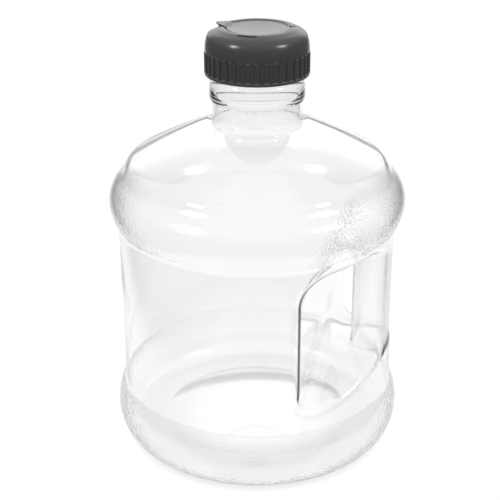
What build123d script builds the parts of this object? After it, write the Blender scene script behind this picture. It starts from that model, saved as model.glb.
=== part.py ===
"""One-gallon water jug: clear blow-moulded body with a through handle, screw cap and flip lid.

Frame: origin at the centre of the base, +Z up, grip handle on +X, mirror plane of the body Y = 0.
Lengths are in millimetres.
"""

import os

from build123d import *

# ---- driving dimensions: jug body ----
WALL = 1.2
BODY_R = 85.3
BASE_RING_R = 75.8
PUSH_UP_R = 63.0
PUSH_UP_H = 11.0
HEEL_POINT = (86.04, 5.33)
LOWER_BAND_R = 90.5
LOWER_BAND_Z = 19.5
LOWER_ARC_R = 38.0
LOWER_CREASE_Z = 38.7
UPPER_CREASE_Z = 143.6
UPPER_BAND_R = 90.3
UPPER_BAND_Z = 158.4
# points (radius, height) where the arcs of the shoulder meet, going up
BELLY_LOW = (88.7, 149.6)
FOLD_TOP = (83.9, 172.9)
FOLD_END = (80.6, 177.8)
DOME_FOOT = (74.7, 184.6)
DOME_TOP_R = 29.7
DOME_TOP_Z = 206.2
NECK_R = 26.5
NECK_BORE_R = 24.4
NECK_FOOT_H = 4.0

# ---- driving dimensions: neck finish ----
COLLAR_R = 28.4
COLLAR_Z0 = 219.4
COLLAR_Z1 = 236.4
FINISH_R = 26.4
RIM_Z = 255.6
THREAD_CREST_R = 28.2
THREAD_STARTS = 3
THREAD_LEAD = 12.0
THREAD_ROOT_W = 2.4
THREAD_CREST_W = 1.0
THREAD_EMBED = 0.3
JUG_THREAD_Z = 242.0
JUG_THREAD_ARC = 150.0

# ---- driving dimensions: grip pocket and handle ----
POCKET_FLOOR_X = 43.65
POCKET_CORNER_Z = 117.5
POCKET_CORNER_W = 15.9
POCKET_ROOF_Z = 137.4
POCKET_ROOF_RISE = 3.0
POCKET_FOOT_Z = 47.0
POCKET_OUT_X = 100.0
SADDLE_PEAK_Z = 71.0
SADDLE_FOOT_Z = 48.5
CEILING_PEAK_Z = 134.0
CEILING_HALF_W = 40.0
CEILING_RISE = 6.0
CEILING_TOP_Z = 160.0
POCKET_HALF_W = 74.0
POCKET_EDGE_R = 3.0
GRIP_INNER_X = 63.0
GRIP_OUTER_X = 85.9
GRIP_HALF_W = 18.0
GRIP_CORNER_R = 9.0
# sections of the handle, going up: height, inner face X, outer face X, half width
GRIP_SECTIONS = (
    (44.0, 50.0, 97.0, 36.0),
    (57.0, 57.5, 91.0, 25.5),
    (70.0, 62.0, 86.5, 19.5),
    (80.0, GRIP_INNER_X, GRIP_OUTER_X, GRIP_HALF_W),
    (122.0, GRIP_INNER_X, GRIP_OUTER_X, GRIP_HALF_W),
    (132.0, 61.6, 86.2, 19.0),
    (145.0, 54.0, 94.0, 27.0),
)

# ---- driving dimensions: screw cap ----
CAP_Z0 = 234.8
CAP_R = 31.1
CAP_ROOT_R = 30.2
CAP_BORE_R = 28.7
CAP_THREAD_CREST_R = 26.9
CAP_THREAD_ARC = 120.0
CAP_ROOF_Z = 257.2
CAP_CREST_Z = 262.5
CAP_CREST_R = 20.2
RIB_COUNT = 36
RIB_R = 0.95
RIB_Z0 = 236.8
RIB_Z1 = 248.2
DISC_SEAT_R = 18.35
DECK_Z = 259.2
POUR_HOLE_R = 9.6
SLOT_MEAN_R = 22.9
SLOT_W = 1.3
SLOT_ARC = 26.0
SLOT_DEPTH = 2.6
SLOT_FROM_TAB = 78.0
NOTCH_FLOOR_Z = 259.5

# ---- driving dimensions: flip lid ----
TAB_ANGLE = 174.0
DISC_R = 18.0
DISC_TOP_Z = 261.9
DISC_BOTTOM_Z = 260.6
DISC_DISH = 0.5
TAB_TIP_R = 25.6
TAB_HALF_W = 6.5
TAB_TIP_HALF_W = 0.35
TAB_TOP_Z = 263.4
PIN_R = 0.8
PIN_BORE_R = 0.85
PIN_OFFSET = 18.9
PIN_Z = 260.8
PIN_HALF_L = 10.9
BARREL_R = 1.5
BARREL_HALF_L = 9.0
HINGE_LEAF_L = 5.2
HINGE_GAP = 0.3
LID_BOSS_R = 7.0
LID_BOSS_Z = 255.4

# ---- driving dimensions: seals ----
GASKET_IN_R = 23.4
GASKET_OUT_R = 26.2
STOPPER_R = 9.2
STOPPER_TIP_R = 8.6
STOPPER_Z = 254.9
STOPPER_FLANGE_R = 12.0

os.makedirs("parts", exist_ok=True)


def body_section():
    """Half outline of the jug's outside up to the foot of the neck, closed along the axis."""
    with BuildSketch(Plane.XZ) as section:
        with BuildLine():
            push_up = TangentArc((0, PUSH_UP_H), (PUSH_UP_R, 0), tangent=(1, 0))
            Line(push_up @ 1, (BASE_RING_R, 0))
            heel = TangentArc((BASE_RING_R, 0), HEEL_POINT, tangent=(1, 0))
            lower = TangentArc(heel @ 1, (LOWER_BAND_R, LOWER_BAND_Z), tangent=heel % 1)
            band = RadiusArc(lower @ 1, (BODY_R, LOWER_CREASE_Z), -LOWER_ARC_R)
            side = Line(band @ 1, (BODY_R, UPPER_CREASE_Z))
            belly = ThreePointArc(side @ 1, BELLY_LOW, (UPPER_BAND_R, UPPER_BAND_Z))
            brow = TangentArc(belly @ 1, FOLD_TOP, tangent=(0, 1))
            fold = TangentArc(brow @ 1, FOLD_END, tangent=brow % 1)
            hip = TangentArc(fold @ 1, DOME_FOOT, tangent=fold % 1)
            dome = TangentArc(hip @ 1, (DOME_TOP_R, DOME_TOP_Z), tangent=hip % 1)
            Line(dome @ 1, (0, DOME_TOP_Z))
            Line((0, DOME_TOP_Z), (0, PUSH_UP_H))
        make_face()
    return section.sketch


def cavity_section():
    """The same half outline drawn one wall thickness inside the outer skin."""
    outline = body_section()
    with BuildSketch(Plane.XZ) as section:
        add(outline)
        mirror(outline, about=Plane.YZ)
        offset(amount=-WALL, mode=Mode.REPLACE)
        with Locations((POCKET_OUT_X, DOME_TOP_Z / 2)):
            Rectangle(2 * POCKET_OUT_X, 2 * DOME_TOP_Z, mode=Mode.INTERSECT)
    return section.sketch


def grip_bar(inset):
    """Upright handle with a flared foot and head, drawn inset from its outer skin."""
    with BuildPart() as bar:
        for height, inner_x, outer_x, half_w in GRIP_SECTIONS:
            depth = outer_x - inner_x - 2 * inset
            with BuildSketch(Plane.XY.offset(height)):
                with Locations(((outer_x + inner_x) / 2, 0)):
                    RectangleRounded(depth, 2 * (half_w - inset), GRIP_CORNER_R - inset)
        loft()
    return bar.part


def grip_pocket(inset):
    """Space the fingers reach into from both sides, before the handle is put back."""
    floor_x = POCKET_FLOOR_X - inset
    corner_x = POCKET_FLOOR_X + POCKET_CORNER_W
    roof_z = POCKET_ROOF_Z + inset
    with BuildPart() as pocket:
        with BuildSketch(Plane.XZ):
            with BuildLine():
                corner = EllipticalCenterArc(
                    (corner_x, POCKET_CORNER_Z),
                    corner_x - floor_x,
                    roof_z - POCKET_CORNER_Z,
                    start_angle=90,
                    arc_size=90,
                )
                Line(corner @ 1, (floor_x, POCKET_FOOT_Z - inset))
                Line((floor_x, POCKET_FOOT_Z - inset), (POCKET_OUT_X, POCKET_FOOT_Z - inset))
                Line((POCKET_OUT_X, POCKET_FOOT_Z - inset), (POCKET_OUT_X, roof_z + POCKET_ROOF_RISE))
                Line((POCKET_OUT_X, roof_z + POCKET_ROOF_RISE), corner @ 0)
            make_face()
        extrude(amount=POCKET_OUT_X, both=True)
        # the saddle under the finger hole falls away to both sides, and the ceiling rises
        with BuildSketch(Plane.YZ):
            with BuildLine():
                saddle = Spline(
                    (-POCKET_HALF_W, SADDLE_FOOT_Z - inset),
                    (0, SADDLE_PEAK_Z - inset),
                    (POCKET_HALF_W, SADDLE_FOOT_Z - inset),
                    tangents=[(1, 0.16), (1, -0.16)],
                )
                Line(saddle @ 1, (POCKET_OUT_X, SADDLE_FOOT_Z - inset))
                Line((POCKET_OUT_X, SADDLE_FOOT_Z - inset), (POCKET_OUT_X, 0))
                Line((POCKET_OUT_X, 0), (-POCKET_OUT_X, 0))
                Line((-POCKET_OUT_X, 0), (-POCKET_OUT_X, SADDLE_FOOT_Z - inset))
                Line((-POCKET_OUT_X, SADDLE_FOOT_Z - inset), saddle @ 0)
            make_face()
        extrude(amount=POCKET_OUT_X, mode=Mode.SUBTRACT)
        with BuildSketch(Plane.YZ):
            with BuildLine():
                ceiling = ThreePointArc(
                    (-CEILING_HALF_W, POCKET_ROOF_Z + CEILING_RISE),
                    (0, CEILING_PEAK_Z + inset),
                    (CEILING_HALF_W, POCKET_ROOF_Z + CEILING_RISE),
                )
                Line(ceiling @ 1, (CEILING_HALF_W, CEILING_TOP_Z))
                Line((CEILING_HALF_W, CEILING_TOP_Z), (-CEILING_HALF_W, CEILING_TOP_Z))
                Line((-CEILING_HALF_W, CEILING_TOP_Z), ceiling @ 0)
            make_face()
        extrude(amount=POCKET_OUT_X, mode=Mode.SUBTRACT)
    return pocket.part


def jug_form(section, inset):
    """Solid of the jug, drawn inset from the outer skin, with the pocket cut and the handle in it."""
    with BuildPart() as turned:
        add(section)
        revolve(axis=Axis.Z)
    # the turned surface's seam is kept away from the handle
    skin = turned.part.rotate(Axis.Z, 180)
    with BuildPart() as bar:
        add(grip_bar(inset))
        add(skin, mode=Mode.INTERSECT)
    with BuildPart() as form:
        add(skin)
        add(grip_pocket(inset), mode=Mode.SUBTRACT)
        add(bar.part)
        pocket_edges = form.edges().filter_by(
            lambda edge: (edge @ 0.5).X > POCKET_FLOOR_X - POCKET_EDGE_R
            and POCKET_FOOT_Z - POCKET_EDGE_R < (edge @ 0.5).Z < UPPER_CREASE_Z - 1
            and edge.length > 1
        )
        fillet(pocket_edges, POCKET_EDGE_R - inset)
    return form.part


def thread_ridges(wall_r, crest_r, start_z, arc):
    """Equal helical ridges, one for each start, standing from a round wall towards crest_r."""
    outward = 1 if crest_r > wall_r else -1
    path = Helix(
        pitch=THREAD_LEAD,
        height=THREAD_LEAD * arc / 360,
        radius=wall_r,
        center=(0, 0, start_z),
        mode=Mode.PRIVATE,
    )
    with BuildPart() as ridge:
        with BuildSketch(Plane(origin=path @ 0, x_dir=(outward, 0, 0), z_dir=(0, -outward, 0))):
            Polygon(
                (-THREAD_EMBED, -THREAD_ROOT_W / 2),
                (abs(crest_r - wall_r), -THREAD_CREST_W / 2),
                (abs(crest_r - wall_r), THREAD_CREST_W / 2),
                (-THREAD_EMBED, THREAD_ROOT_W / 2),
                align=None,
            )
        sweep(path=path, is_frenet=True)
    with BuildPart() as ridges:
        with PolarLocations(0, THREAD_STARTS):
            add(ridge.part)
    return ridges.part


# ---- jug body: outer skin less the cavity, then the neck finish ----
outer_form = jug_form(body_section(), 0.0)
inner_form = jug_form(cavity_section(), WALL)

with BuildPart() as bottle_body:
    add(outer_form)
    with BuildSketch(Plane.XZ):
        with BuildLine():
            Line((0, DOME_TOP_Z - NECK_FOOT_H), (DOME_TOP_R, DOME_TOP_Z - NECK_FOOT_H))
            Line((DOME_TOP_R, DOME_TOP_Z - NECK_FOOT_H), (DOME_TOP_R, DOME_TOP_Z))
            foot = ThreePointArc(
                (DOME_TOP_R, DOME_TOP_Z),
                (NECK_R + 0.8, DOME_TOP_Z + 1.4),
                (NECK_R, DOME_TOP_Z + NECK_FOOT_H),
            )
            Line(foot @ 1, (NECK_R, COLLAR_Z0))
            flare = ThreePointArc(
                (NECK_R, COLLAR_Z0),
                (COLLAR_R - 0.8, COLLAR_Z0 + 0.7),
                (COLLAR_R - 0.1, COLLAR_Z0 + 2.6),
            )
            Polyline(
                flare @ 1,
                (COLLAR_R, COLLAR_Z1 - 0.6),
                (COLLAR_R - 0.6, COLLAR_Z1),
                (FINISH_R, COLLAR_Z1 + 1.2),
                (FINISH_R, RIM_Z - 0.6),
                (FINISH_R - 0.6, RIM_Z),
                (0, RIM_Z),
                (0, DOME_TOP_Z - NECK_FOOT_H),
            )
        make_face()
    revolve(axis=Axis.Z)
    add(inner_form, mode=Mode.SUBTRACT)
    with BuildSketch(Plane.XY.offset(DOME_TOP_Z - 1.5 * NECK_FOOT_H)):
        Circle(NECK_BORE_R)
    extrude(until=Until.LAST, mode=Mode.SUBTRACT)
    add(thread_ridges(FINISH_R, THREAD_CREST_R, JUG_THREAD_Z, JUG_THREAD_ARC))
bottle_body.part.label = "bottle_body"
export_step(bottle_body.part, "parts/bottle_body.step")

# ---- neck gasket: flat ring between the rim and the roof of the cap ----
with BuildPart() as cap_gasket:
    with BuildSketch(Plane.XY.offset(RIM_Z)):
        Circle(GASKET_OUT_R)
        Circle(GASKET_IN_R, mode=Mode.SUBTRACT)
    extrude(amount=CAP_ROOF_Z - RIM_Z)
cap_gasket.part.label = "cap_gasket"
export_step(cap_gasket.part, "parts/cap_gasket.step")

# ---- screw cap ----
with BuildPart() as screw_cap:
    with BuildSketch(Plane.XZ):
        with BuildLine():
            lip = ThreePointArc((CAP_R - 1.0, CAP_Z0), (CAP_R - 0.3, CAP_Z0 + 0.3), (CAP_R, CAP_Z0 + 1.0))
            Polyline(
                lip @ 1,
                (CAP_R, RIB_Z0 - 0.5),
                (CAP_ROOT_R, RIB_Z0 + 0.4),
                (CAP_ROOT_R, RIB_Z1 - 0.6),
                (CAP_R - 0.35, RIB_Z1 + 0.6),
            )
            shoulder = Spline(
                (CAP_R - 0.35, RIB_Z1 + 0.6),
                (30.2, 254.7),
                (28.1, 259.3),
                (CAP_CREST_R + 3.6, 261.7),
                (CAP_CREST_R, CAP_CREST_Z),
                tangents=[(0, 1), (-1, 0)],
            )
            dish = ThreePointArc(
                shoulder @ 1,
                (DISC_SEAT_R + 0.6, CAP_CREST_Z - 0.35),
                (DISC_SEAT_R, DISC_TOP_Z - 0.1),
            )
            Polyline(
                dish @ 1,
                (DISC_SEAT_R, DECK_Z),
                (POUR_HOLE_R + 0.5, DECK_Z),
                (POUR_HOLE_R, DECK_Z - 0.5),
                (POUR_HOLE_R, CAP_ROOF_Z),
                (CAP_BORE_R - 2.4, CAP_ROOF_Z),
            )
            roof = ThreePointArc(
                (CAP_BORE_R - 2.4, CAP_ROOF_Z),
                (CAP_BORE_R - 0.7, CAP_ROOF_Z - 1.0),
                (CAP_BORE_R, CAP_ROOF_Z - 3.4),
            )
            Polyline(roof @ 1, (CAP_BORE_R, CAP_Z0 + 0.5), (CAP_BORE_R + 0.5, CAP_Z0), lip @ 0)
        make_face()
    revolve(axis=Axis.Z)
    # grip ribs round the skirt
    with BuildSketch(Plane.XY.offset(RIB_Z0)):
        with PolarLocations(CAP_R - RIB_R, RIB_COUNT):
            Circle(RIB_R)
    extrude(amount=RIB_Z1 - RIB_Z0)
    # finger notch under the tab of the lid
    tab_plane = Plane(origin=(0, 0, 0), x_dir=Vector(1, 0, 0).rotate(Axis.Z, TAB_ANGLE), z_dir=(0, 0, 1))
    with BuildSketch(Plane(origin=tab_plane.origin, x_dir=tab_plane.x_dir, z_dir=-tab_plane.y_dir)):
        with BuildLine():
            Polyline(
                (DISC_SEAT_R - 3.0, NOTCH_FLOOR_Z),
                (TAB_TIP_R - 3.0, NOTCH_FLOOR_Z),
                (TAB_TIP_R + 6.0, NOTCH_FLOOR_Z - 2.0),
                (TAB_TIP_R + 6.0, TAB_TOP_Z + 2),
                (DISC_SEAT_R - 3.0, TAB_TOP_Z + 2),
                close=True,
            )
        make_face()
    extrude(amount=TAB_HALF_W + 1.2, both=True, mode=Mode.SUBTRACT)
    # recess for the lid's hinge barrel, and the bore for its pin
    recess_half_w = BARREL_R + HINGE_GAP
    with BuildSketch(tab_plane.offset(PIN_Z - recess_half_w)):
        with Locations((HINGE_GAP / 2 - PIN_OFFSET + recess_half_w / 2, 0)):
            Rectangle(3 * recess_half_w, 2 * (BARREL_HALF_L + HINGE_GAP))
    extrude(amount=CAP_CREST_Z - CAP_ROOF_Z, mode=Mode.SUBTRACT)
    with BuildSketch(Plane(origin=(0, 0, 0), x_dir=tab_plane.x_dir, z_dir=-tab_plane.y_dir)):
        with Locations((-PIN_OFFSET, PIN_Z)):
            Circle(PIN_R)
    extrude(amount=PIN_HALF_L, both=True, mode=Mode.SUBTRACT)
    # two shallow arc slots beside the disc
    with BuildSketch(tab_plane.offset(CAP_CREST_Z - SLOT_DEPTH)):
        for side in (-1, 1):
            with Locations(Rotation(0, 0, side * SLOT_FROM_TAB)):
                SlotArc(
                    CenterArc((0, 0), SLOT_MEAN_R, -SLOT_ARC / 2, SLOT_ARC, mode=Mode.PRIVATE),
                    height=SLOT_W,
                )
    extrude(amount=10, mode=Mode.SUBTRACT)
    add(
        thread_ridges(
            CAP_BORE_R,
            CAP_THREAD_CREST_R,
            JUG_THREAD_Z - THREAD_LEAD / THREAD_STARTS / 2,
            CAP_THREAD_ARC,
        )
    )
screw_cap.part.label = "screw_cap"
export_step(screw_cap.part, "parts/screw_cap.step")

# ---- flip lid: dished disc, lift tab, hinge barrel and stopper boss ----
with BuildPart() as flip_disc:
    with BuildSketch(Plane.XZ):
        with BuildLine():
            dish = ThreePointArc(
                (0, DISC_TOP_Z - DISC_DISH),
                (DISC_R * 0.5, DISC_TOP_Z - DISC_DISH * 0.72),
                (DISC_R - 1.0, DISC_TOP_Z),
            )
            Polyline(
                dish @ 1,
                (DISC_R - 0.3, DISC_TOP_Z),
                (DISC_R, DISC_TOP_Z - 0.3),
                (DISC_R, DISC_BOTTOM_Z),
                (LID_BOSS_R, DISC_BOTTOM_Z),
                (LID_BOSS_R, LID_BOSS_Z),
                (LID_BOSS_R - 1.4, LID_BOSS_Z),
                (LID_BOSS_R - 1.4, DISC_BOTTOM_Z - 0.6),
                (0, DISC_BOTTOM_Z - 0.6),
                dish @ 0,
            )
        make_face()
    revolve(axis=Axis.Z)
    lid_plane = Plane(origin=(0, 0, 0), x_dir=Vector(1, 0, 0).rotate(Axis.Z, TAB_ANGLE), z_dir=(0, 0, 1))
    side_plane = Plane(origin=(0, 0, 0), x_dir=lid_plane.x_dir, z_dir=-lid_plane.y_dir)
with BuildPart() as lift_tab:
    with BuildSketch(side_plane):
        with BuildLine():
            top = Spline(
                (DISC_R - 4.0, DISC_TOP_Z - 0.3),
                (DISC_R + 1.0, DISC_TOP_Z + 0.9),
                (TAB_TIP_R, TAB_TOP_Z),
                tangents=[(1, 0), (1, 0.25)],
            )
            bottom = Spline(
                (TAB_TIP_R, TAB_TOP_Z - 0.7),
                (DISC_R + 1.6, DISC_TOP_Z - 0.3),
                (DISC_R - 4.0, DISC_BOTTOM_Z + 0.2),
                tangents=[(-1, -0.25), (-1, 0)],
            )
            Line(top @ 1, bottom @ 0)
            Line(bottom @ 1, top @ 0)
        make_face()
    extrude(amount=TAB_HALF_W, both=True)
    with BuildSketch(lid_plane):
        with BuildLine():
            leaf = ThreePointArc(
                (DISC_R - 4.5, TAB_HALF_W), (DISC_R + 2.4, TAB_HALF_W - 1.4), (TAB_TIP_R, TAB_TIP_HALF_W)
            )
            other = ThreePointArc(
                (TAB_TIP_R, -TAB_TIP_HALF_W), (DISC_R + 2.4, 1.4 - TAB_HALF_W), (DISC_R - 4.5, -TAB_HALF_W)
            )
            Line(leaf @ 1, other @ 0)
            Line(other @ 1, leaf @ 0)
        make_face()
    extrude(amount=TAB_TOP_Z + 5, mode=Mode.INTERSECT)
with BuildPart() as hinge_barrel:
    with BuildSketch(side_plane):
        with Locations((-PIN_OFFSET, PIN_Z)):
            Circle(BARREL_R)
        with Locations((HINGE_LEAF_L / 2 - PIN_OFFSET, (DISC_TOP_Z + DISC_BOTTOM_Z) / 2)):
            Rectangle(HINGE_LEAF_L, DISC_TOP_Z - DISC_BOTTOM_Z)
    extrude(amount=BARREL_HALF_L, both=True)
with BuildPart() as flip_lid:
    add(flip_disc.part)
    add(lift_tab.part)
    add(hinge_barrel.part)
    with BuildSketch(side_plane):
        with Locations((-PIN_OFFSET, PIN_Z)):
            Circle(PIN_BORE_R)
    extrude(amount=PIN_HALF_L, both=True, mode=Mode.SUBTRACT)
flip_lid.part.label = "flip_lid"
export_step(flip_lid.part, "parts/flip_lid.step")

# ---- hinge pin: plain rod across the cap's hinge recess ----
with BuildPart() as lid_hinge_pin:
    with BuildSketch(side_plane):
        with Locations((-PIN_OFFSET, PIN_Z)):
            Circle(PIN_R)
    extrude(amount=PIN_HALF_L, both=True)
lid_hinge_pin.part.label = "lid_hinge_pin"
export_step(lid_hinge_pin.part, "parts/lid_hinge_pin.step")

# ---- stopper: soft hat pushed over the lid's boss, closing the pour hole ----
with BuildPart() as lid_stopper:
    with BuildSketch(Plane.XZ):
        Polygon(
            (LID_BOSS_R, DISC_BOTTOM_Z),
            (STOPPER_FLANGE_R, DISC_BOTTOM_Z),
            (STOPPER_FLANGE_R, DECK_Z + 0.05),
            (STOPPER_R + 0.1, DECK_Z + 0.05),
            (STOPPER_R, DECK_Z - 0.8),
            (STOPPER_TIP_R, STOPPER_Z),
            (0, STOPPER_Z),
            (0, LID_BOSS_Z),
            (LID_BOSS_R, LID_BOSS_Z),
            align=None,
        )
    revolve(axis=Axis.Z)
lid_stopper.part.label = "lid_stopper"
export_step(lid_stopper.part, "parts/lid_stopper.step")
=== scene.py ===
import math

import bpy
import numpy as np
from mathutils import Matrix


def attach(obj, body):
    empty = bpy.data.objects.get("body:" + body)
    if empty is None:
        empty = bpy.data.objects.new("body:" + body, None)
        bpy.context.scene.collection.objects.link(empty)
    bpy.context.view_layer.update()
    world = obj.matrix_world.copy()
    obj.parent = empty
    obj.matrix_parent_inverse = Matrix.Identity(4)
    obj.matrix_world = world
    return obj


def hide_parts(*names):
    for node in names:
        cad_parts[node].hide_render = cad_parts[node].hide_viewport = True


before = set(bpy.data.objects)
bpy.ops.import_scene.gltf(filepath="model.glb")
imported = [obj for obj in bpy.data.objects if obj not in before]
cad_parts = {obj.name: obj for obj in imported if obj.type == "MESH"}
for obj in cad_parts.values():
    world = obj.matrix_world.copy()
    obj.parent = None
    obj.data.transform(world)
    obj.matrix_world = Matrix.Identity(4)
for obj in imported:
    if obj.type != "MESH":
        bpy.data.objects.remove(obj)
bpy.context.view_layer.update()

# ---------------------------------------------------------------------------
# Camera: a short telephoto on a stand beside the table, turned 15 degrees round
# from the jug's flat side and looking down onto the shoulder, with the jug's
# axis held a little right of the middle.
# ---------------------------------------------------------------------------
CAMERA_TURN = math.radians(15.0)
CAMERA_DISTANCE = 0.6664
CAMERA_HEIGHT = 0.4193
CAMERA_TILT = math.radians(24.11)

lens = bpy.data.cameras.new("jug_camera")
lens.sensor_width = 36.0
lens.lens = 83.8
lens.shift_x = -0.0144
camera = bpy.data.objects.new("jug_camera", lens)
camera.location = (
    CAMERA_DISTANCE * math.sin(CAMERA_TURN),
    -CAMERA_DISTANCE * math.cos(CAMERA_TURN),
    CAMERA_HEIGHT,
)
camera.rotation_euler = (math.pi / 2 - CAMERA_TILT, 0, CAMERA_TURN)
bpy.context.scene.collection.objects.link(camera)
bpy.context.scene.camera = camera
bpy.context.scene.view_settings.view_transform = "Standard"
bpy.context.scene.cycles.max_bounces = 32
bpy.context.scene.cycles.transmission_bounces = 32


# ---------------------------------------------------------------------------
# Studio: the way clear bottles are lit. A white light table fills the camera's view and fades to grey just
# outside it, so that the bottle's edges draw themselves dark; in a ring under the jug its glow is dimmed as
# a painted contact shadow. A tall sheet behind and a pale ceiling light the tops, and two small soft boxes
# beside the camera leave a pair of highlights on every curve.
# ---------------------------------------------------------------------------
FORWARD = (-math.sin(CAMERA_TURN), math.cos(CAMERA_TURN), 0.0)
RIGHT = (math.cos(CAMERA_TURN), math.sin(CAMERA_TURN), 0.0)


def panel(name, corners):
    """One flat four-cornered mesh object."""
    mesh = bpy.data.meshes.new(name)
    mesh.from_pydata(corners, [], [(0, 1, 2, 3)])
    obj = bpy.data.objects.new(name, mesh)
    bpy.context.scene.collection.objects.link(obj)
    return obj


def math_node(tree, operation, first, second=None):
    """A math node's output, from sockets or plain numbers."""
    node = tree.nodes.new("ShaderNodeMath")
    node.operation = operation
    for socket, value in zip(node.inputs, (first, second)):
        if isinstance(value, bpy.types.NodeSocket):
            tree.links.new(value, socket)
        elif value is not None:
            socket.default_value = value
    return node.outputs[0]


def smooth_range(tree, value, start, end, low=0.0, high=1.0):
    """Low up to start, high from end on, and an even ease between them."""
    node = tree.nodes.new("ShaderNodeMapRange")
    node.interpolation_type = "SMOOTHSTEP"
    node.inputs["From Min"].default_value = start
    node.inputs["From Max"].default_value = end
    node.inputs["To Min"].default_value = low
    node.inputs["To Max"].default_value = high
    tree.links.new(value, node.inputs["Value"])
    return node.outputs[0]


def along(tree, point, direction):
    """How far a point lies along a direction."""
    node = tree.nodes.new("ShaderNodeVectorMath")
    node.operation = "DOT_PRODUCT"
    node.inputs[1].default_value = direction
    tree.links.new(point, node.inputs[0])
    return node.outputs["Value"]


def around(turn, distance, height):
    """A point on a circle about the jug's axis, turned from the camera's side."""
    angle = CAMERA_TURN + turn
    return (distance * math.sin(angle), -distance * math.cos(angle), height)


TABLE_HALF = 6.0
TABLE_Z = -0.0004
TABLE_GLOW = 1.02
TABLE_DIM = 0.2
# painted contact shadow: how dim the table's glow is made in a ring under the jug's standing ring, and where
# that ring begins and ends
CONTACT_SHADOW_GLOW = 0.82
CONTACT_SHADOW_INNER = (0.030, 0.062)
CONTACT_SHADOW_OUTER = (0.079, 0.088)
FRAME_EDGE = 0.25
FRAME_FADE = 0.46
NEAR_EDGE = 0.53
NEAR_FADE = 0.22
SHEET_DISTANCE = 1.7
SHEET_HALF_W = 1.7
SHEET_GLOW = 1.5
SHEET_BOTTOM = 0.35
SHEET_TOP = 3.2

table_glow = bpy.data.materials.new("table_glow")
table_glow.use_nodes = True
table_tree = table_glow.node_tree
table_tree.nodes.clear()
spot = table_tree.nodes.new("ShaderNodeTexCoord").outputs["Object"]
ahead = math_node(table_tree, "ADD", along(table_tree, spot, FORWARD), CAMERA_DISTANCE)
aside = math_node(table_tree, "ABSOLUTE", along(table_tree, spot, RIGHT))
spread = math_node(table_tree, "DIVIDE", aside, math_node(table_tree, "MAXIMUM", ahead, 0.05))
within = math_node(
    table_tree,
    "MULTIPLY",
    smooth_range(table_tree, spread, FRAME_EDGE, FRAME_FADE, 1.0, 0.0),
    smooth_range(table_tree, ahead, NEAR_FADE, NEAR_EDGE),
)
from_axis = table_tree.nodes.new("ShaderNodeVectorMath")
from_axis.operation = "LENGTH"
table_tree.links.new(spot, from_axis.inputs[0])
# painted contact shadow: the table glows dimmer in a ring under the jug where it stands
shade = math_node(
    table_tree,
    "MAXIMUM",
    smooth_range(table_tree, from_axis.outputs["Value"], *CONTACT_SHADOW_INNER, 1.0, CONTACT_SHADOW_GLOW),
    smooth_range(table_tree, from_axis.outputs["Value"], *CONTACT_SHADOW_OUTER, CONTACT_SHADOW_GLOW, 1.0),
)
glow = table_tree.nodes.new("ShaderNodeEmission")
brightness = smooth_range(table_tree, within, 0.0, 1.0, TABLE_DIM, TABLE_GLOW)
table_tree.links.new(math_node(table_tree, "MULTIPLY", shade, brightness), glow.inputs["Strength"])
out = table_tree.nodes.new("ShaderNodeOutputMaterial")
table_tree.links.new(glow.outputs[0], out.inputs["Surface"])
light_table = panel(
    "light_table",
    [
        (x * TABLE_HALF, y * TABLE_HALF, TABLE_Z)
        for x, y in ((-1, -1), (1, -1), (1, 1), (-1, 1))
    ],
)
light_table.data.materials.append(table_glow)

sheet_glow = bpy.data.materials.new("sheet_glow")
sheet_glow.use_nodes = True
sheet_tree = sheet_glow.node_tree
sheet_tree.nodes.clear()
spot = sheet_tree.nodes.new("ShaderNodeTexCoord").outputs["Object"]
aside = math_node(sheet_tree, "ABSOLUTE", along(sheet_tree, spot, RIGHT))
glow = sheet_tree.nodes.new("ShaderNodeEmission")
sheet_tree.links.new(
    smooth_range(sheet_tree, aside, 0.5 * SHEET_HALF_W, SHEET_HALF_W, SHEET_GLOW, TABLE_DIM),
    glow.inputs["Strength"],
)
out = sheet_tree.nodes.new("ShaderNodeOutputMaterial")
sheet_tree.links.new(glow.outputs[0], out.inputs["Surface"])


def sheet_corner(side, height):
    """A corner of the sheet, on the left (-1) or the right (1) as seen from the camera."""
    x, y = (FORWARD[k] * SHEET_DISTANCE + RIGHT[k] * side * SHEET_HALF_W for k in (0, 1))
    return (x, y, height)


white_sheet = panel(
    "white_sheet",
    [
        sheet_corner(-1, SHEET_BOTTOM),
        sheet_corner(1, SHEET_BOTTOM),
        sheet_corner(1, SHEET_TOP),
        sheet_corner(-1, SHEET_TOP),
    ],
)
white_sheet.data.materials.append(sheet_glow)


BOX_DISTANCE = 1.1
BOX_HEIGHT = 0.84
BOX_AIM_Z = 0.13
BOX_WIDTH = 0.24
BOX_TALL = 0.22
BOX_WATTS = 4.0


def soft_box(name, turn):
    """A rectangular area light aimed at the middle of the jug."""
    data = bpy.data.lights.new(name, "AREA")
    data.shape = "RECTANGLE"
    data.size = BOX_WIDTH
    data.size_y = BOX_TALL
    data.energy = BOX_WATTS
    lamp = bpy.data.objects.new(name, data)
    lamp.location = around(turn, BOX_DISTANCE, BOX_HEIGHT)
    lamp.rotation_euler = (math.atan2(BOX_DISTANCE, BOX_HEIGHT - BOX_AIM_Z), 0, CAMERA_TURN + turn)
    bpy.context.scene.collection.objects.link(lamp)


soft_box("left_box", math.radians(-56))
soft_box("right_box", math.radians(60))

ROOM_LOW_GLOW = 0.24
ROOM_HIGH_GLOW = 0.85

room = bpy.data.worlds.new("grey_room")
room.use_nodes = True
room_tree = room.node_tree
towards = room_tree.nodes.new("ShaderNodeTexCoord").outputs["Generated"]
room_tree.links.new(
    smooth_range(room_tree, along(room_tree, towards, (0, 0, 1)), 0.0, 0.7, ROOM_LOW_GLOW, ROOM_HIGH_GLOW),
    room_tree.nodes["Background"].inputs["Strength"],
)
room_tree.nodes["Background"].inputs["Color"].default_value = (1, 1, 1, 1)
bpy.context.scene.world = room

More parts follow.
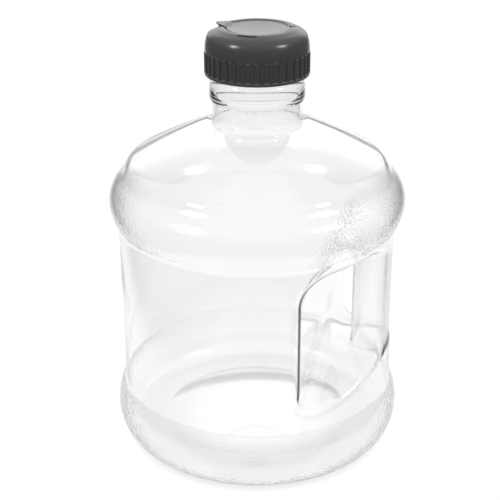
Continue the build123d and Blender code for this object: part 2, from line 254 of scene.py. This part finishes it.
# ---------------------------------------------------------------------------
# Jug body: one clear blow-moulded wall with the grip handle blown in.
# Its outside is a turned form, less a pocket reached into from both sides, with
# an upright bar left across the pocket; the inside lies one wall further in.
# All of this section works in millimetres and scales to metres at the end.
# ---------------------------------------------------------------------------
MM = 0.001
WALL = 1.2
BODY_R = 85.3
PUSH_UP_Z = 11.0
STANDING_INNER_R = 63.0
STANDING_OUTER_R = 75.8
CREASE_LOW_Z = 38.7
CREASE_HIGH_Z = 143.6
NECK_R = 26.5
NECK_BORE_R = 24.4
NECK_STUB_Z = 223.5
POCKET_FLOOR_X = 43.65
POCKET_CORNER_R = 18.0
POCKET_FOOT_R = 10.0
POCKET_ROOF_Z = 137.6
CEILING_PEAK_Z = 134.0
SADDLE_PEAK_Z = 71.0
SADDLE_FOOT_Z = 48.5
SADDLE_HALF_W = 74.0
GRIP_MID_X = 74.45
GRIP_HALF_DEPTH = 11.45
GRIP_HALF_W = 18.0
GRIP_CORNER_R = 9.0
GRIP_FLARE_R = 3.0
EDGE_R = 5.0
OUTLINE_STEP = 0.5


def arc_through(start, end, tangent, count):
    """Points on the circle that leaves start along tangent and meets end, without the start point."""
    start, end, tangent = (np.array(v, float) for v in (start, end, tangent))
    tangent /= np.linalg.norm(tangent)
    chord = end - start
    normal = np.array((-tangent[1], tangent[0]))
    across = chord @ normal
    if abs(across) < 1e-9:
        return [start + chord * (i + 1) / count for i in range(count)], tangent
    radius = (chord @ chord) / (2 * across)
    centre = start + radius * normal
    turn = 2 * math.atan2(across, chord @ tangent)
    points = []
    for i in range(count):
        angle = turn * (i + 1) / count
        cos, sin = math.cos(angle), math.sin(angle)
        arm = start - centre
        points.append(centre + np.array((cos * arm[0] - sin * arm[1], sin * arm[0] + cos * arm[1])))
    leaving = np.array(
        (
            math.cos(turn) * tangent[0] - math.sin(turn) * tangent[1],
            math.sin(turn) * tangent[0] + math.cos(turn) * tangent[1],
        )
    )
    return points, leaving


def jug_outline():
    """Half outline of the jug, radius against height, from the push-up's middle to the neck."""
    points = [np.array((0.0, PUSH_UP_Z))]
    # end point, and the direction the arc starts in (None carries on smoothly, "line" goes straight)
    steps = (
        ((STANDING_INNER_R, 0.0), (1, 0)),
        ((STANDING_OUTER_R, 0.0), "line"),
        ((86.04, 5.33), (1, 0)),
        ((90.5, 19.5), None),
        ((BODY_R, CREASE_LOW_Z), (0, 1)),
        ((BODY_R, CREASE_HIGH_Z), "line"),
        ((90.3, 158.4), (0.58, 0.815)),
        ((83.9, 172.9), (0, 1)),
        ((80.6, 177.8), None),
        ((74.7, 184.6), None),
        ((30.2, 206.0), None),
        ((NECK_R, 210.2), (-0.93, 0.37)),
        ((NECK_R, NECK_STUB_Z), "line"),
        ((0.0, NECK_STUB_Z), "line"),
    )
    heading = np.array((1.0, 0.0))
    for end, lead_in in steps:
        if isinstance(lead_in, str):
            lead_in = np.array(end) - points[-1]
        elif lead_in is None:
            lead_in = heading
        span = np.linalg.norm(np.array(end) - points[-1])
        arc, heading = arc_through(points[-1], end, lead_in, max(2, int(span / OUTLINE_STEP)))
        points += arc
    return np.array(points)


def softened(outline, blur=2.0):
    """The outline at even spacing with its creases rounded by about a millimetre."""
    lengths = np.r_[0, np.cumsum(np.linalg.norm(np.diff(outline, axis=0), axis=1))]
    even = np.arange(0, lengths[-1], OUTLINE_STEP)
    points = np.stack([np.interp(even, lengths, outline[:, k]) for k in (0, 1)], 1)
    reach = np.arange(-8, 9)
    kernel = np.exp(-0.5 * (reach / blur) ** 2)
    kernel /= kernel.sum()
    smooth = points.copy()
    for k in (0, 1):
        padded = np.pad(points[:, k], 8, mode="edge")
        smooth[:, k] = np.convolve(padded, kernel, mode="valid")
    keep = np.zeros(len(points), bool)
    keep[:12] = keep[-60:] = True
    smooth[keep] = points[keep]
    return np.vstack([smooth, outline[-1:]])


def outline_distance(outline, r_axis, z_axis):
    """Signed distance to the turned outline on a grid of radius and height, negative inside."""
    start, end = outline[:-1], outline[1:]
    along = end - start
    size = np.maximum((along**2).sum(1), 1e-12)
    grid_r, grid_z = np.meshgrid(r_axis, z_axis, indexing="ij")
    flat = np.stack([grid_r.ravel(), grid_z.ravel()], 1)
    result = np.empty(len(flat))
    for first in range(0, len(flat), 4000):
        q = flat[first : first + 4000, None, :]
        t = np.clip(((q - start) * along).sum(2) / size, 0, 1)
        near = np.sqrt((((q - start) - t[..., None] * along) ** 2).sum(2)).min(1)
        above = (start[:, 1] > q[..., 1]) != (end[:, 1] > q[..., 1])
        rise = np.where(np.abs(along[:, 1]) < 1e-12, 1e-12, along[:, 1])
        hit = start[:, 0] + (q[..., 1] - start[:, 1]) / rise * along[:, 0]
        inside = (above & (q[..., 0] < hit)).sum(1) % 2 == 1
        result[first : first + 4000] = np.where(inside, -near, near)
    return result.reshape(grid_r.shape)


def round_join(a, b, radius):
    """Union of two distances with a concave fillet of that radius."""
    u = np.maximum(radius - a, 0)
    v = np.maximum(radius - b, 0)
    return np.maximum(radius, np.minimum(a, b)) - np.hypot(u, v)


def round_cut(a, b, radius):
    """Intersection of two distances with a rounded edge of that radius."""
    u = np.maximum(radius + a, 0)
    v = np.maximum(radius + b, 0)
    return np.minimum(-radius, np.maximum(a, b)) + np.hypot(u, v)


TURNED_STEP = 0.5
turned_r = np.arange(0.0, 132.0, TURNED_STEP)
turned_z = np.arange(-6.0, 232.0, TURNED_STEP)
turned = outline_distance(softened(jug_outline()), turned_r, turned_z)


def turned_distance(points):
    """Signed distance to the turned form, looked up between the grid's four nearest values."""
    u = np.clip(np.hypot(points[..., 0], points[..., 1]) / TURNED_STEP, 0, len(turned_r) - 1.001)
    v = np.clip((points[..., 2] - turned_z[0]) / TURNED_STEP, 0, len(turned_z) - 1.001)
    i, j = u.astype(int), v.astype(int)
    u, v = u - i, v - j
    low = turned[i, j] * (1 - u) + turned[i + 1, j] * u
    high = turned[i, j + 1] * (1 - u) + turned[i + 1, j + 1] * u
    return low * (1 - v) + high * v


def jug_distance(points):
    """Signed distance to the jug's outside up to the neck, in millimetres."""
    x, y, z = points[..., 0], points[..., 1], points[..., 2]
    roof = np.minimum(POCKET_ROOF_Z + 0.08 * (x - 59), CEILING_PEAK_Z + 9.4 * (y / 40) ** 2)
    t = np.clip(1 - np.abs(y) / SADDLE_HALF_W, 0, 1)
    saddle = SADDLE_FOOT_Z + 11.8 * t * (1 - t) ** 2 + (SADDLE_PEAK_Z - SADDLE_FOOT_Z) * t * t * (3 - 2 * t)
    pocket = round_cut(POCKET_FLOOR_X - x, z - roof, POCKET_CORNER_R)
    pocket = round_cut(pocket, saddle - z, POCKET_FOOT_R)
    qx = np.abs(x - GRIP_MID_X) - (GRIP_HALF_DEPTH - GRIP_CORNER_R)
    qy = np.abs(y) - (GRIP_HALF_W - GRIP_CORNER_R)
    bar = np.hypot(np.maximum(qx, 0), np.maximum(qy, 0)) + np.minimum(np.maximum(qx, qy), 0) - GRIP_CORNER_R
    plastic = round_join(-pocket, bar, GRIP_FLARE_R)
    return round_cut(turned_distance(points), plastic, EDGE_R)


def surface_net(values, origin, step):
    """Quads round the zero level of a grid of signed distances: one vertex in each cell that it crosses."""
    inside = values < 0
    shape = np.array(values.shape) - 1
    count = np.zeros(shape, np.int8)
    corners = [(i, j, k) for i in (0, 1) for j in (0, 1) for k in (0, 1)]
    for i, j, k in corners:
        count += inside[i : i + shape[0], j : j + shape[1], k : k + shape[2]]
    cells = np.argwhere((count > 0) & (count < 8))
    number = np.full(shape, -1, np.int64)
    number[tuple(cells.T)] = np.arange(len(cells))
    total = np.zeros((len(cells), 3))
    hits = np.zeros(len(cells))
    units = np.eye(3, dtype=int)
    for axis in range(3):
        side_a, side_b = [units[k] for k in range(3) if k != axis]
        for da in (0, 1):
            for db in (0, 1):
                low = cells + da * side_a + db * side_b
                va = values[tuple(low.T)]
                vb = values[tuple((low + units[axis]).T)]
                crossed = (va < 0) != (vb < 0)
                t = np.where(crossed, va / np.where(crossed, va - vb, 1), 0)
                total += np.where(crossed[:, None], low + t[:, None] * units[axis], 0)
                hits += crossed
    points = np.array(origin) + step * total / hits[:, None]
    quads = []
    for axis in range(3):
        side_a, side_b = [(axis + 1) % 3, (axis + 2) % 3]
        low = [slice(None)] * 3
        high = [slice(None)] * 3
        low[axis], high[axis] = slice(0, -1), slice(1, None)
        for side in (side_a, side_b):
            low[side] = high[side] = slice(1, -1)
        first = inside[tuple(low)]
        changed = np.argwhere(first != inside[tuple(high)])
        starts = first[tuple(changed.T)]
        base = changed + units[side_a] + units[side_b]
        ring = [base - units[side_a] - units[side_b], base - units[side_b], base, base - units[side_a]]
        ids = np.stack([number[tuple(c.T)] for c in ring], 1)
        ids[~starts] = ids[~starts][:, ::-1]
        quads.append(ids)
    return points, np.vstack(quads)


def settle(points, quads, distance, rounds=4):
    """Evens out the quads, and brings every point back onto the surface after each round."""
    edges = np.vstack([quads[:, [k, (k + 1) % 4]] for k in range(4)])
    nudge = 0.25
    for _ in range(rounds):
        total = np.zeros_like(points)
        near = np.zeros(len(points))
        for a, b in ((0, 1), (1, 0)):
            np.add.at(total, edges[:, a], points[edges[:, b]])
            np.add.at(near, edges[:, a], 1)
        points = 0.5 * points + 0.5 * total / near[:, None]
        for _ in range(2):
            value = distance(points)
            slope = np.stack(
                [distance(points + nudge * e) - distance(points - nudge * e) for e in np.eye(3)], 1
            ) / (2 * nudge)
            points = points - value[:, None] * slope / np.maximum((slope**2).sum(1), 0.2)[:, None]
    return points


NET_STEP = 1.4
net_origin = (-93.0, -93.0, -3.0)
axes = [
    np.arange(low, high, NET_STEP)
    for low, high in zip(net_origin, (93.0 + NET_STEP, 93.0 + NET_STEP, 227.0))
]
grid = np.stack(np.meshgrid(*axes, indexing="ij"), -1)
jug_values = jug_distance(grid)


def wall_mesh(name, inset):
    """Closed mesh of the jug's form, inset from its outer skin, in metres."""
    points, quads = surface_net(jug_values + inset, net_origin, NET_STEP)
    points = settle(points, quads, lambda p: jug_distance(p) + inset)
    mesh = bpy.data.meshes.new(name)
    mesh.from_pydata((points * MM).tolist(), [], quads.tolist())
    mesh.update()
    obj = bpy.data.objects.new(name, mesh)
    bpy.context.scene.collection.objects.link(obj)
    return obj


bottle = wall_mesh("clear_bottle", 0.0)
cavity = wall_mesh("cavity_tool", WALL)

# ---------------------------------------------------------------------------
# Neck finish: the thick calibrated top of the jug, with a collar under the cap
# and three starts of right-hand thread. It is turned from one outline, and the
# thread stands out of its wall.
# ---------------------------------------------------------------------------
COLLAR_R = 28.4
COLLAR_Z0 = 219.4
COLLAR_Z1 = 236.4
COLLAR_WALL = 1.5
FINISH_R = 26.4
RIM_Z = 255.6
THREAD_HEIGHT = 1.8
THREAD_START_Z = 242.0
THREAD_LEAD = 12.0
THREAD_ARC = 150.0
THREAD_HALF_ROOT = 1.2
THREAD_HALF_CREST = 0.5
THREAD_STARTS = 3
NECK_SIDES = 240


def thread_rise(angle, height):
    """How far the thread stands out of the neck's wall at an angle in degrees and a height."""
    rise = 0.0
    for start in range(THREAD_STARTS):
        turned_by = (angle - start * 360 / THREAD_STARTS) % 360
        if turned_by > THREAD_ARC:
            continue
        off = abs(height - THREAD_START_Z - THREAD_LEAD * turned_by / 360)
        slope = (THREAD_HALF_ROOT - off) / (THREAD_HALF_ROOT - THREAD_HALF_CREST)
        fade = min(1.0, turned_by / 8, (THREAD_ARC - turned_by) / 8)
        rise = max(rise, THREAD_HEIGHT * min(1.0, max(0.0, slope)) * max(0.0, fade))
    return rise


def turned_mesh(name, outline, sides, standing=None):
    """Closed mesh turned about +Z from (radius, height) points that start and end on the axis."""
    verts = [(0, 0, outline[0][1] * MM)]
    faces = []
    inner = outline[1:-1]
    for radius, height in inner:
        for k in range(sides):
            angle = 2 * math.pi * k / sides
            out = radius + (standing(math.degrees(angle), height) if standing else 0.0)
            verts.append((out * math.cos(angle) * MM, out * math.sin(angle) * MM, height * MM))
    verts.append((0, 0, outline[-1][1] * MM))
    last = len(verts) - 1
    for k in range(sides):
        after = (k + 1) % sides
        faces.append((0, 1 + after, 1 + k))
        for row in range(len(inner) - 1):
            a, b = 1 + row * sides, 1 + (row + 1) * sides
            faces.append((a + k, a + after, b + after, b + k))
        top = 1 + (len(inner) - 1) * sides
        faces.append((top + k, top + after, last))
    mesh = bpy.data.meshes.new(name)
    mesh.from_pydata(verts, [], faces)
    mesh.update()
    obj = bpy.data.objects.new(name, mesh)
    bpy.context.scene.collection.objects.link(obj)
    return obj


def finish_outline():
    """Outside of the neck finish, from the flare under the collar to the rim."""
    points = [(0.0, COLLAR_Z0 + 1.0), (NECK_R - 1.0, COLLAR_Z0 + 1.0), (NECK_R - 0.4, COLLAR_Z0 + 0.3)]
    arc = 6
    for k in range(arc + 1):
        swing = math.pi / 2 * k / arc
        points.append((NECK_R + 0.5 + 1.4 * math.sin(swing), COLLAR_Z0 + 0.2 + 2.4 * (1 - math.cos(swing))))
    points += [(COLLAR_R, COLLAR_Z1 - 8), (COLLAR_R, COLLAR_Z1 - 0.6), (COLLAR_R - 0.15, COLLAR_Z1 - 0.2)]
    points += [(COLLAR_R - 0.6, COLLAR_Z1), (FINISH_R + 0.3, COLLAR_Z1 + 1.0), (FINISH_R, COLLAR_Z1 + 1.4)]
    rows = 44
    for k in range(1, rows):
        points.append((FINISH_R, COLLAR_Z1 + 1.4 + (RIM_Z - 1.0 - COLLAR_Z1 - 1.4) * k / rows))
    points += [(FINISH_R, RIM_Z - 0.6), (FINISH_R - 0.2, RIM_Z - 0.2), (FINISH_R - 0.6, RIM_Z), (0.0, RIM_Z)]
    return points


neck_finish = turned_mesh("finish_tool", finish_outline(), NECK_SIDES, thread_rise)
bore_outline = [
    (0.0, 203.0),
    (NECK_BORE_R - 1.5, 203.0),
    (NECK_BORE_R, 206.0),
    (NECK_BORE_R, COLLAR_Z0),
    (COLLAR_R - COLLAR_WALL, COLLAR_Z0 + 3.0),
    (COLLAR_R - COLLAR_WALL, COLLAR_Z1 - 2.0),
    (NECK_BORE_R, COLLAR_Z1),
    (NECK_BORE_R, RIM_Z - 0.4),
    (NECK_BORE_R + 0.5, RIM_Z + 0.1),
    (NECK_BORE_R + 0.5, RIM_Z + 3.0),
    (0.0, RIM_Z + 3.0),
]
neck_bore = turned_mesh("bore_tool", bore_outline, NECK_SIDES)


def combine(obj, tool, operation):
    """Joins or cuts obj with a closed tool mesh, and throws the tool away."""
    step = obj.modifiers.new("combine", "BOOLEAN")
    step.operation = operation
    step.solver = "MANIFOLD"
    step.object = tool
    bpy.context.view_layer.update()
    result = bpy.data.meshes.new_from_object(obj.evaluated_get(bpy.context.evaluated_depsgraph_get()))
    obj.modifiers.clear()
    obj.data = result
    bpy.data.objects.remove(tool)


clear_wall = bpy.data.materials.new("clear_wall")
clear_inside = bpy.data.materials.new("clear_inside")
for outer in (bottle, neck_finish):
    outer.data.materials.append(clear_wall)
for inner in (cavity, neck_bore):
    inner.data.materials.append(clear_inside)
combine(bottle, neck_finish, "UNION")
combine(cavity, neck_bore, "UNION")
combine(bottle, cavity, "DIFFERENCE")
bottle.data.name = "clear_bottle"
bottle.data.shade_smooth()

# clear copolyester: nearly colourless, with shallow waves left by blowing
CLEAR_TINT = (0.97, 0.972, 0.972, 1)
CLEAR_IOR = 1.54
PEBBLE_SCALE = 800.0
PEBBLE_DEPTH = 0.11
GRIP_GRAIN_SCALE = 900.0
GRIP_GRAIN_DEPTH = 0.10
UPPER_BAND = (0.1455, 0.1765)
LOWER_BAND = (0.002, 0.0365)
GRIP_ZONE = (0.071, 0.134)


def new_group(name, inputs, outputs):
    """An empty shader node group, with its input and output nodes."""
    group = bpy.data.node_groups.new(name, "ShaderNodeTree")
    for label, value in inputs.items():
        socket = group.interface.new_socket(label, in_out="INPUT", socket_type="NodeSocketFloat")
        socket.default_value = value
    for label in outputs:
        group.interface.new_socket(label, in_out="OUTPUT", socket_type="NodeSocketFloat")
    return group, group.nodes.new("NodeGroupInput"), group.nodes.new("NodeGroupOutput")


def use_group(tree, group, **values):
    """A group's node in a material, with its inputs set."""
    node = tree.nodes.new("ShaderNodeGroup")
    node.node_tree = group
    for label, value in values.items():
        node.inputs[label].default_value = value
    return node


def textured(tree, kind, place, scale):
    """A noise or cell texture on the piece's own coordinates."""
    node = tree.nodes.new(kind)
    tree.links.new(place, node.inputs["Vector"])
    if isinstance(scale, bpy.types.NodeSocket):
        tree.links.new(scale, node.inputs["Scale"])
    else:
        node.inputs["Scale"].default_value = scale
    return node


# slow waves in the wall: used on the outer and the inner face of the jug
blown_waves, blown_in, blown_out = new_group("blown_waves", {"Scale": 16.0, "Depth": 0.4}, ("Height",))
wave_noise = textured(
    blown_waves,
    "ShaderNodeTexNoise",
    blown_waves.nodes.new("ShaderNodeTexCoord").outputs["Object"],
    blown_in.outputs["Scale"],
)
wave_noise.inputs["Detail"].default_value = 1.0
blown_waves.links.new(
    math_node(blown_waves, "MULTIPLY", wave_noise.outputs[0], blown_in.outputs["Depth"]),
    blown_out.inputs["Height"],
)


def clear_plastic(material, scale, depth):
    """Sets up a clear plastic with blown waves. Returns its tree, bump and height socket."""
    material.use_nodes = True
    tree = material.node_tree
    shader = tree.nodes["Principled BSDF"]
    shader.inputs["Base Color"].default_value = CLEAR_TINT
    shader.inputs["Transmission Weight"].default_value = 1.0
    shader.inputs["Roughness"].default_value = 0.02
    shader.inputs["IOR"].default_value = CLEAR_IOR
    waves = use_group(tree, blown_waves, Scale=scale, Depth=depth)
    bump = tree.nodes.new("ShaderNodeBump")
    bump.inputs["Strength"].default_value = 1.0
    bump.inputs["Distance"].default_value = 0.001
    tree.links.new(bump.outputs[0], shader.inputs["Normal"])
    tree.links.new(waves.outputs["Height"], bump.inputs["Height"])
    return tree, bump, waves.outputs["Height"]


def band_mask(tree, height, low, high, ease):
    """One between two heights, easing to nothing above and below."""
    return math_node(
        tree,
        "MULTIPLY",
        smooth_range(tree, height, low - ease, low + ease),
        smooth_range(tree, height, high - ease, high + ease, 1.0, 0.0),
    )


clear_plastic(clear_inside, 22.0, 0.25)
tree, bump, waves = clear_plastic(clear_wall, 16.0, 0.35)
place = tree.nodes.new("ShaderNodeTexCoord").outputs["Object"]
split = tree.nodes.new("ShaderNodeSeparateXYZ")
tree.links.new(place, split.inputs[0])
flat = tree.nodes.new("ShaderNodeVectorMath")
flat.operation = "MULTIPLY"
flat.inputs[1].default_value = (1, 1, 0)
tree.links.new(place, flat.inputs[0])
radius = tree.nodes.new("ShaderNodeVectorMath")
radius.operation = "LENGTH"
tree.links.new(flat.outputs[0], radius.inputs[0])
on_bands = math_node(
    tree,
    "MULTIPLY",
    math_node(
        tree,
        "MAXIMUM",
        band_mask(tree, split.outputs["Z"], *UPPER_BAND, 0.002),
        band_mask(tree, split.outputs["Z"], *LOWER_BAND, 0.0015),
    ),
    smooth_range(tree, radius.outputs["Value"], 0.077, 0.080),
)
pebbles = textured(tree, "ShaderNodeTexVoronoi", place, PEBBLE_SCALE)
pebbles.feature = "SMOOTH_F1"
pebbles.inputs["Smoothness"].default_value = 0.8
pebble_height = math_node(
    tree, "MULTIPLY", math_node(tree, "SUBTRACT", 0.5, pebbles.outputs["Distance"]), on_bands
)
on_grip = math_node(
    tree,
    "MULTIPLY",
    band_mask(tree, split.outputs["Z"], *GRIP_ZONE, 0.003),
    math_node(
        tree,
        "MULTIPLY",
        smooth_range(tree, split.outputs["X"], 0.0625, 0.066),
        smooth_range(tree, math_node(tree, "ABSOLUTE", split.outputs["Y"]), 0.016, 0.0185, 1.0, 0.0),
    ),
)
grip_grain = textured(tree, "ShaderNodeTexNoise", place, GRIP_GRAIN_SCALE)
grip_grain.inputs["Detail"].default_value = 2.0
relief = math_node(tree, "ADD", waves, math_node(tree, "MULTIPLY", pebble_height, PEBBLE_DEPTH))
grip_relief = math_node(tree, "MULTIPLY", grip_grain.outputs[0], on_grip)
relief = math_node(tree, "ADD", relief, math_node(tree, "MULTIPLY", grip_relief, GRIP_GRAIN_DEPTH))
tree.links.new(relief, bump.inputs["Height"])

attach(bottle, "bottle")
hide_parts("bottle_body")

# ---------------------------------------------------------------------------
# Screw cap: charcoal polypropylene, satin from the mould, with ribs to grip by.
# Its CAD shape is right as it is, so it keeps that and gets this finish.
# ---------------------------------------------------------------------------
CHARCOAL = (0.056, 0.056, 0.058, 1)

# fine spark-eroded grain with a few broad dull patches: used on every moulded dark or soft piece
mould_grain, grain_in, grain_out = new_group(
    "mould_grain", {"Scale": 1800.0, "Depth": 0.03, "Dull": 0.08, "Roughness": 0.25}, ("Height", "Roughness")
)
grain_place = mould_grain.nodes.new("ShaderNodeTexCoord").outputs["Object"]
grain_noise = textured(mould_grain, "ShaderNodeTexNoise", grain_place, grain_in.outputs["Scale"])
grain_noise.inputs["Detail"].default_value = 2.0
patches = textured(mould_grain, "ShaderNodeTexNoise", grain_place, 45.0)
patches.inputs["Detail"].default_value = 3.0
mould_grain.links.new(
    math_node(mould_grain, "MULTIPLY", grain_noise.outputs[0], grain_in.outputs["Depth"]),
    grain_out.inputs["Height"],
)
patch_level = math_node(mould_grain, "SUBTRACT", patches.outputs[0], 0.5)
dulled = math_node(mould_grain, "MULTIPLY", patch_level, grain_in.outputs["Dull"])
mould_grain.links.new(
    math_node(mould_grain, "ADD", grain_in.outputs["Roughness"], dulled),
    grain_out.inputs["Roughness"],
)


def moulded(name, colour, **grain):
    """A moulded plastic or rubber with the grain above."""
    material = bpy.data.materials.new(name)
    material.use_nodes = True
    tree = material.node_tree
    shader = tree.nodes["Principled BSDF"]
    shader.inputs["Base Color"].default_value = colour
    shader.inputs["IOR"].default_value = 1.52
    finish = use_group(tree, mould_grain, **grain)
    bump = tree.nodes.new("ShaderNodeBump")
    bump.inputs["Strength"].default_value = 1.0
    bump.inputs["Distance"].default_value = 0.001
    tree.links.new(finish.outputs["Height"], bump.inputs["Height"])
    tree.links.new(bump.outputs[0], shader.inputs["Normal"])
    tree.links.new(finish.outputs["Roughness"], shader.inputs["Roughness"])
    return material


def finish_node(node, material):
    """Puts a material on a CAD node in place of the plain one it came with."""
    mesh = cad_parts[node].data
    mesh.materials.clear()
    mesh.materials.append(material)


finish_node("screw_cap", moulded("cap_plastic", CHARCOAL, Depth=0.02, Roughness=0.24))

# ---------------------------------------------------------------------------
# Flip lid: the same charcoal plastic, a shallow dished disc that closes flush
# with the cap, with a lifting tab over a notch and a hinge barrel opposite it.
# ---------------------------------------------------------------------------
LID_CHARCOAL = (0.060, 0.060, 0.062, 1)

finish_node("flip_lid", moulded("lid_plastic", LID_CHARCOAL, Depth=0.015, Roughness=0.22))

# ---------------------------------------------------------------------------
# Neck gasket: a flat die-cut ring of grey silicone, dull and slightly dusty,
# that lies between the cap's roof and the rim of the neck.
# ---------------------------------------------------------------------------
GASKET_GREY = (0.30, 0.30, 0.31, 1)

finish_node("cap_gasket", moulded("gasket_silicone", GASKET_GREY, Depth=0.03, Roughness=0.55))

# ---------------------------------------------------------------------------
# Pour-hole stopper: a soft moulded hat of grey silicone, a little lighter than
# the gasket, that is pushed onto the boss under the lid.
# ---------------------------------------------------------------------------
STOPPER_GREY = (0.36, 0.36, 0.37, 1)

finish_node("lid_stopper", moulded("stopper_silicone", STOPPER_GREY, Depth=0.03, Roughness=0.5))

# ---------------------------------------------------------------------------
# Hinge pin: a plain drawn steel rod in the lid's barrel, with fine marks along
# its length.
# ---------------------------------------------------------------------------
PIN_STEEL = (0.56, 0.56, 0.58, 1)
PIN_MARKS_SCALE = 2500.0

pin_steel = bpy.data.materials.new("pin_steel")
pin_steel.use_nodes = True
pin_tree = pin_steel.node_tree
pin_shader = pin_tree.nodes["Principled BSDF"]
pin_shader.inputs["Base Color"].default_value = PIN_STEEL
pin_shader.inputs["Metallic"].default_value = 1.0
pin_place = pin_tree.nodes.new("ShaderNodeTexCoord").outputs["Object"]
drawn = textured(pin_tree, "ShaderNodeTexNoise", pin_place, PIN_MARKS_SCALE)
marks = smooth_range(pin_tree, drawn.outputs[0], 0.3, 0.7, 0.24, 0.38)
pin_tree.links.new(marks, pin_shader.inputs["Roughness"])
finish_node("lid_hinge_pin", pin_steel)
